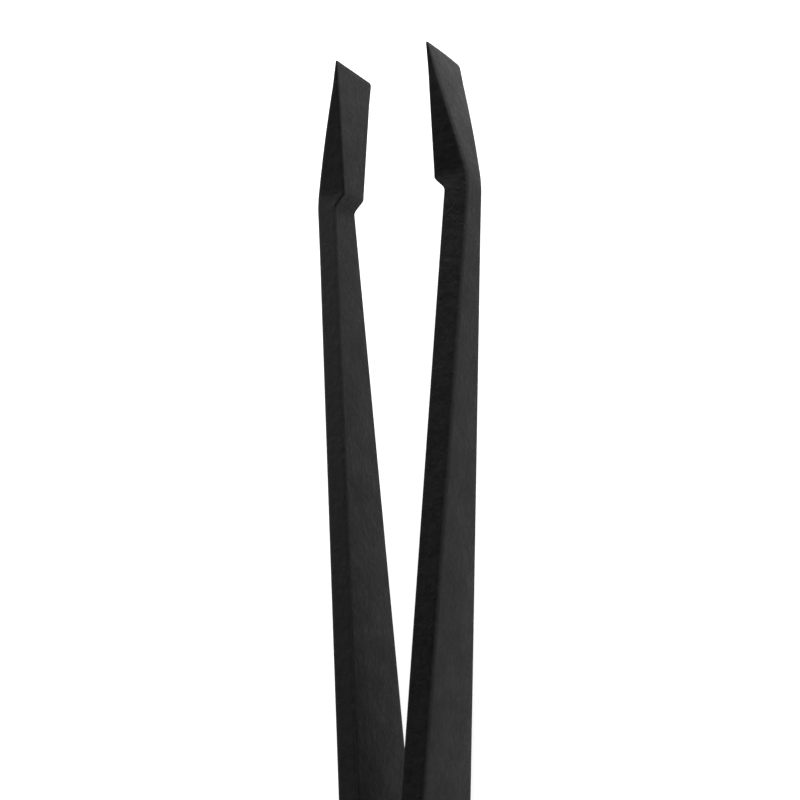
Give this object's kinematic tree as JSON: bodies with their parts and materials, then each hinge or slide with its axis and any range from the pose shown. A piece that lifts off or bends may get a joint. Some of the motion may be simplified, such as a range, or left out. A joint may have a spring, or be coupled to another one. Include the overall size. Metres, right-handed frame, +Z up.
{
  "type": "slant tweezers",
  "caption": "Slant tweezers with a matt black coat: mirrored sprung steel arms joined at the tail, each ending in a wedge-shaped claw with a slanted tip edge.",
  "frame": {"origin": "on the surface that the blades' lower edges lie on, under the centre of the whole", "axes": "+X along the length towards the tips, +Y towards the left arm (the direction the arms open), +Z up, from the blades' lower edges to their upper edges"},
  "size_m": [0.096, 0.0138, 0.0082],
  "materials": {
    "coated_steel": "matt black powder coat with a fine grain",
    "weld_metal": "bare, sealed between the tails"
  },
  "bodies": {
    "tail": {"left_tail": "coated_steel", "right_tail": "coated_steel", "left_leaf": "coated_steel", "right_leaf": "coated_steel", "front_spot_weld": "weld_metal", "rear_spot_weld": "weld_metal"},
    "left_arm": {"left_blade": "coated_steel"},
    "right_arm": {"right_blade": "coated_steel"}
  },
  "joints": [
    {"name": "left_arm_flex", "type": "hinge", "parent": "tail", "child": "left_arm", "pos_m": [-0.033, 0.00059, 0.0041], "axis": [0, 0, -1], "range_deg": [0, 2.85], "stiffness_Nm_per_rad": 4, "deforming": ["left_leaf"]},
    {"name": "right_arm_flex", "type": "hinge", "parent": "tail", "child": "right_arm", "pos_m": [-0.033, -0.00059, 0.0041], "axis": [0, 0, 1], "range_deg": [0, 2.85], "stiffness_Nm_per_rad": 4, "deforming": ["right_leaf"]}
  ]
}
